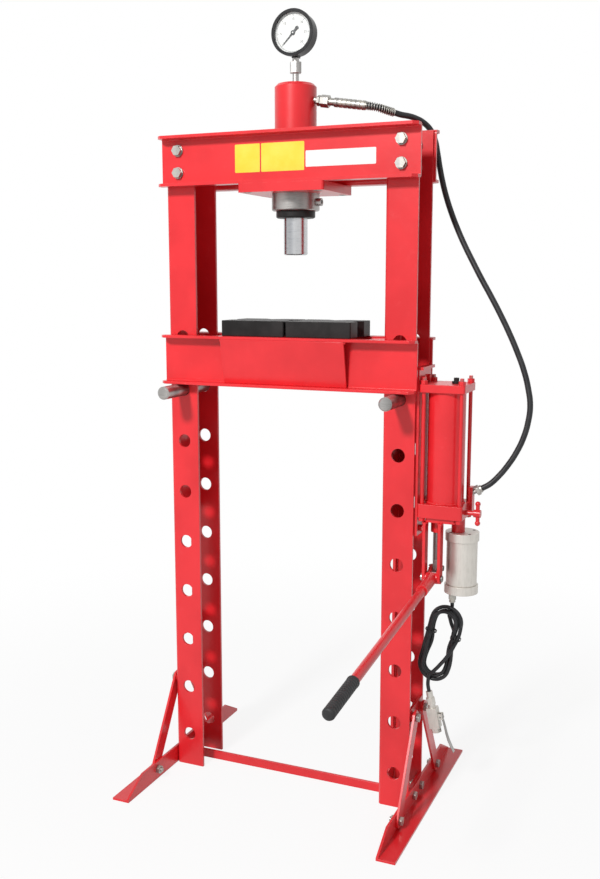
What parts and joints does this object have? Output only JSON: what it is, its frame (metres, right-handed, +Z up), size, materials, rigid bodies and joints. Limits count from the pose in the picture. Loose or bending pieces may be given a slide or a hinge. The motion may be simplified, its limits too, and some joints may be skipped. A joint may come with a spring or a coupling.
{
  "type": "shop press",
  "caption": "Floor-standing hydraulic shop press: bolted H-frame, pinned bed, gauge and ram in the head, air or hand pump on one upright.",
  "frame": {"origin": "on the floor under the middle of the cross bar, midway between the uprights and midway through their depth", "axes": "+X to the pump side, +Y to the back, +Z up along the ram's axis"},
  "size_m": [0.819, 0.8788, 1.662],
  "materials": {
    "red_paint": "gloss enamel over folded and welded steel",
    "zinc_steel": "zinc-plated fasteners",
    "plain_steel": "turned steel",
    "black_steel": "black oxide",
    "chrome_rod": "hard chrome",
    "black_plastic": "gloss enamel case",
    "dial_white": "printed white dial",
    "pointer_black": "matt black",
    "clear_glass": "clear",
    "hose_cover": "smooth hose cover",
    "black_rubber": "matt rubber",
    "cast_alloy": "bead blasted",
    "yellow_label": "vinyl sticker",
    "white_label": "vinyl sticker"
  },
  "bodies": {
    "frame": {"left_upright": "red_paint", "right_upright": "red_paint", "left_foot": "red_paint", "right_foot": "red_paint", "left_braces": "red_paint", "right_braces": "red_paint", "cross_bar": "red_paint", "foot_bolts": "zinc_steel", "head_channel_front": "red_paint", "head_channel_rear": "red_paint", "head_bolts": "zinc_steel", "head_nuts": "zinc_steel", "ram_plate": "red_paint", "ram_plate_bolts": "zinc_steel", "ram_cylinder": "red_paint", "ram_collar": "plain_steel", "ram_gland": "black_steel", "gauge_fitting": "plain_steel", "gauge_case": "black_plastic", "gauge_dial": "dial_white", "gauge_glass": "clear_glass", "hose_fitting": "zinc_steel", "hose_sleeve": "zinc_steel", "hose_guard": "black_steel", "pressure_hose": "hose_cover", "pump_fitting": "zinc_steel", "bed_channel_front": "red_paint", "bed_channel_rear": "red_paint", "bed_cover": "red_paint", "bed_spacers": "red_paint", "arbor_plate_left": "black_steel", "arbor_plate_right": "black_steel", "pump_bracket": "red_paint", "pump_top_plate": "red_paint", "pump_reservoir": "red_paint", "pump_base": "red_paint", "tie_rods": "zinc_steel", "filler_plug": "black_steel", "handle_lugs": "red_paint", "fulcrum_pin": "plain_steel", "air_motor_body": "cast_alloy", "air_motor_caps": "cast_alloy", "air_inlet": "zinc_steel", "air_hose": "hose_cover", "air_hose_coil": "hose_cover", "air_hose_tail": "hose_cover", "air_valve": "cast_alloy", "warning_labels": "yellow_label", "spec_label": "white_label"},
    "ram": {"ram": "chrome_rod"},
    "pointer": {"gauge_pointer": "pointer_black"},
    "handle": {"handle_socket": "red_paint", "plunger_pin": "plain_steel", "handle_bar": "red_paint", "handle_grip": "black_rubber"},
    "plunger": {"plunger": "plain_steel"},
    "release": {"release_valve": "red_paint"},
    "pin_left": {"bed_pin_left": "plain_steel"},
    "pin_right": {"bed_pin_right": "plain_steel"},
    "valve_lever": {"air_valve_lever": "plain_steel"}
  },
  "joints": [
    {"name": "ram_stroke", "type": "slide", "parent": "frame", "child": "ram", "axis": [0, 0, -1], "range_m": [0, 0.13], "stiffness_N_per_m": 1500, "springref_m": -0.1},
    {"name": "handle_pump", "type": "hinge", "parent": "frame", "child": "handle", "pos_m": [0.32, -0.034, 0.513], "axis": [-1, 0, 0], "range_deg": [0, 45]},
    {"name": "plunger_stroke", "type": "slide", "parent": "frame", "child": "plunger", "axis": [0, 0, -1], "range_m": [0, 0.0268]},
    {"name": "release_turn", "type": "hinge", "parent": "frame", "child": "release", "pos_m": [0.385, -0.014, 0.652], "axis": [1, 0, 0], "range_deg": [0, 180]},
    {"name": "gauge_needle", "type": "hinge", "parent": "frame", "child": "pointer", "pos_m": [0, -0.0148, 1.616], "axis": [0, 1, 0], "range_deg": [0, 270], "stiffness_Nm_per_rad": 0.002},
    {"name": "left_pin_pull", "type": "slide", "parent": "frame", "child": "pin_left", "axis": [0, -1, 0], "range_m": [0, 0.22]},
    {"name": "right_pin_pull", "type": "slide", "parent": "frame", "child": "pin_right", "axis": [0, -1, 0], "range_m": [0, 0.22]},
    {"name": "valve_squeeze", "type": "hinge", "parent": "frame", "child": "valve_lever", "pos_m": [0.3385, -0.007, 0.20415], "axis": [0, 1, 0], "range_deg": [0, 10], "stiffness_Nm_per_rad": 0.5, "springref_deg": -8.59}
  ],
  "couplings": [
    {"joint": "plunger_stroke", "follows": "handle_pump", "m_per_rad": 0.0341}
  ]
}
